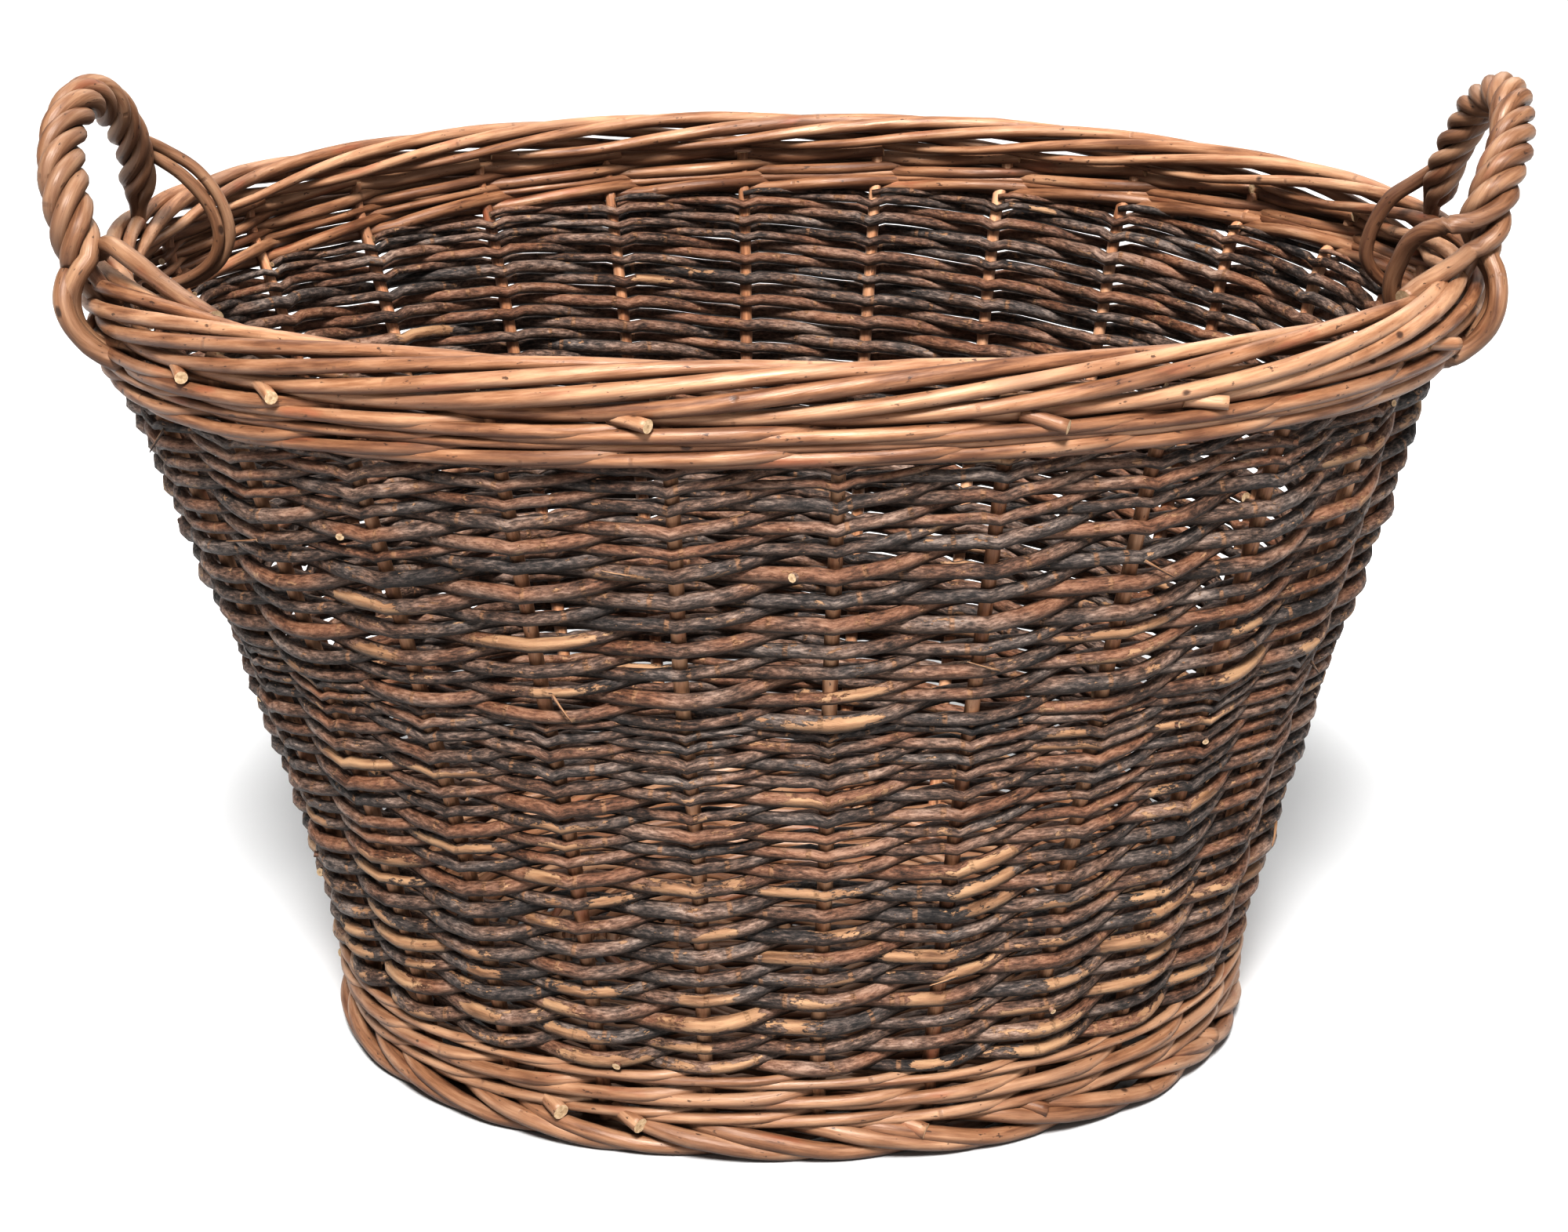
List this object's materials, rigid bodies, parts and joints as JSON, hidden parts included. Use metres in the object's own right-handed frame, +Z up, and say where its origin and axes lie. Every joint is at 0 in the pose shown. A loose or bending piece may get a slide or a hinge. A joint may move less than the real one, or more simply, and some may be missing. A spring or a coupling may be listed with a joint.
{
  "type": "laundry basket",
  "caption": "Oval, flared laundry basket woven from brown willow, with a rolled tan rim, tan base bands and a rope handle at each end.",
  "frame": {"origin": "on the ground, under the middle of the basket", "axes": "+X along the long way, from one handle to the other, +Y across, +Z up"},
  "size_m": [0.6281, 0.51, 0.4308],
  "materials": {
    "buff_willow": "satin",
    "bark_willow": "satin",
    "base_willow": "matte"
  },
  "bodies": {
    "root": {"foot_border": "buff_willow", "upsett_wale_lower": "buff_willow", "upsett_wale_upper": "buff_willow", "top_wale_lower": "buff_willow", "top_wale_upper": "buff_willow", "rim_border": "buff_willow", "stake_01": "buff_willow", "stake_02": "buff_willow", "stake_03": "buff_willow", "stake_04": "buff_willow", "stake_05": "buff_willow", "stake_06": "buff_willow", "stake_07": "buff_willow", "stake_08": "buff_willow", "stake_09": "buff_willow", "stake_10": "buff_willow", "stake_11": "buff_willow", "stake_12": "buff_willow", "stake_13": "buff_willow", "stake_14": "buff_willow", "stake_15": "buff_willow", "stake_16": "buff_willow", "stake_17": "buff_willow", "stake_18": "buff_willow", "stake_19": "buff_willow", "stake_20": "buff_willow", "stake_21": "buff_willow", "stake_22": "buff_willow", "stake_23": "buff_willow", "stake_24": "buff_willow", "stake_25": "buff_willow", "stake_26": "buff_willow", "left_handle_bow": "buff_willow", "right_handle_bow": "buff_willow", "left_handle_roping_1": "buff_willow", "left_handle_roping_2": "buff_willow", "left_handle_roping_3": "buff_willow", "left_handle_roping_4": "buff_willow", "right_handle_roping_1": "buff_willow", "right_handle_roping_2": "buff_willow", "right_handle_roping_3": "buff_willow", "right_handle_roping_4": "buff_willow", "lower_randing": "bark_willow", "upper_randing": "bark_willow", "base_weave": "base_willow", "base_long_stick_1": "base_willow", "base_long_stick_2": "base_willow", "base_long_stick_3": "base_willow", "base_cross_stick_1": "base_willow", "base_cross_stick_2": "base_willow", "base_cross_stick_3": "base_willow", "base_cross_stick_4": "base_willow", "base_cross_stick_5": "base_willow"}
  },
  "joints": []
}
